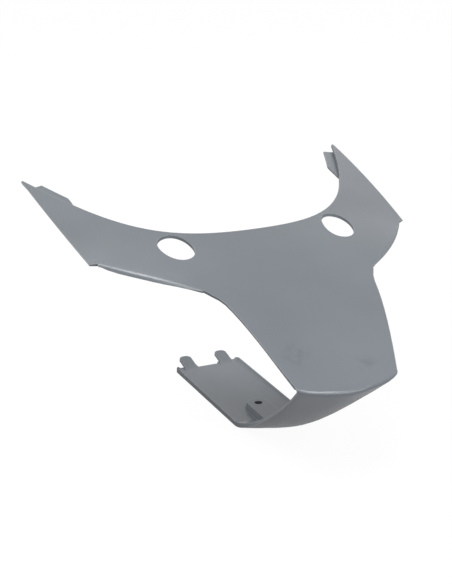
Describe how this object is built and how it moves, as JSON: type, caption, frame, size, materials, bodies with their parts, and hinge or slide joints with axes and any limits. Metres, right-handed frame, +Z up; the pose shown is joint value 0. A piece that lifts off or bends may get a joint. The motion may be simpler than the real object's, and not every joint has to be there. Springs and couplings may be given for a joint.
{
  "type": "scooter rear panel",
  "caption": "Moulded scooter rear panel: swept wings round a seat recess with lens openings, and a tongue that folds under to a flat plate with tabs and a screw hole.",
  "frame": {"origin": "centre of the screw hole, on the underside of the bottom plate", "axes": "+X to the rider's right, +Y forward, +Z up out of the plate through the raised pad"},
  "size_m": [0.2796, 0.3006, 0.1643],
  "materials": {
    "plastic": "moulded, satin, unpainted"
  },
  "bodies": {
    "root": {"rear_panel": "plastic"}
  },
  "joints": []
}
